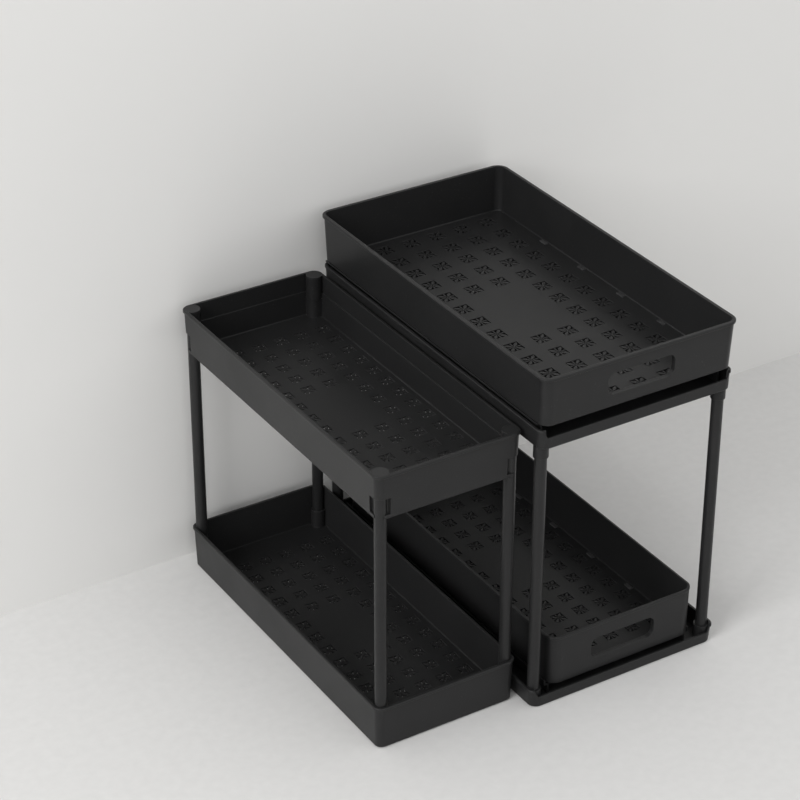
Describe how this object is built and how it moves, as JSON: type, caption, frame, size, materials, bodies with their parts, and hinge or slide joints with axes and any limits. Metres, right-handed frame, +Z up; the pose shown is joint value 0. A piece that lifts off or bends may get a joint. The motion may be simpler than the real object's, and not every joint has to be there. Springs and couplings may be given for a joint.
{
  "type": "under sink organizer",
  "caption": "Set of two slim two-tier organizers: a fixed shelf with deep trays on round posts beside a pull-out shelf with two sliding handled drawers.",
  "frame": {"origin": "on the floor, at the middle of the box around the whole set", "axes": "+X to the right from the fixed shelf to the pull-out shelf, +Y to the back, +Z up; the drawers pull out towards -Y"},
  "size_m": [0.404, 0.426, 0.3894],
  "materials": {
    "tray_plastic": "matt",
    "post_plastic": "satin",
    "glide_plastic": "satin"
  },
  "bodies": {
    "stand": {"left_base_tray": "tray_plastic", "left_top_tray": "tray_plastic", "left_post_front_left": "post_plastic", "left_post_front_right": "post_plastic", "left_post_back_left": "post_plastic", "left_post_back_right": "post_plastic", "left_cap_front_left": "tray_plastic", "left_cap_front_right": "tray_plastic", "left_cap_back_left": "tray_plastic", "left_cap_back_right": "tray_plastic", "right_base_frame": "tray_plastic", "right_upper_frame": "tray_plastic", "right_post_front_left": "post_plastic", "right_post_front_right": "post_plastic", "right_post_back_left": "post_plastic", "right_post_back_right": "post_plastic"},
    "lower_tray": {"lower_drawer": "tray_plastic", "lower_glides": "glide_plastic"},
    "upper_tray": {"upper_drawer": "tray_plastic", "upper_glides": "glide_plastic"}
  },
  "joints": [
    {"name": "lower_drawer_slide", "type": "slide", "parent": "stand", "child": "lower_tray", "axis": [0, -1, 0], "range_m": [0, 0.25]},
    {"name": "upper_drawer_slide", "type": "slide", "parent": "stand", "child": "upper_tray", "axis": [0, -1, 0], "range_m": [0, 0.26]}
  ]
}
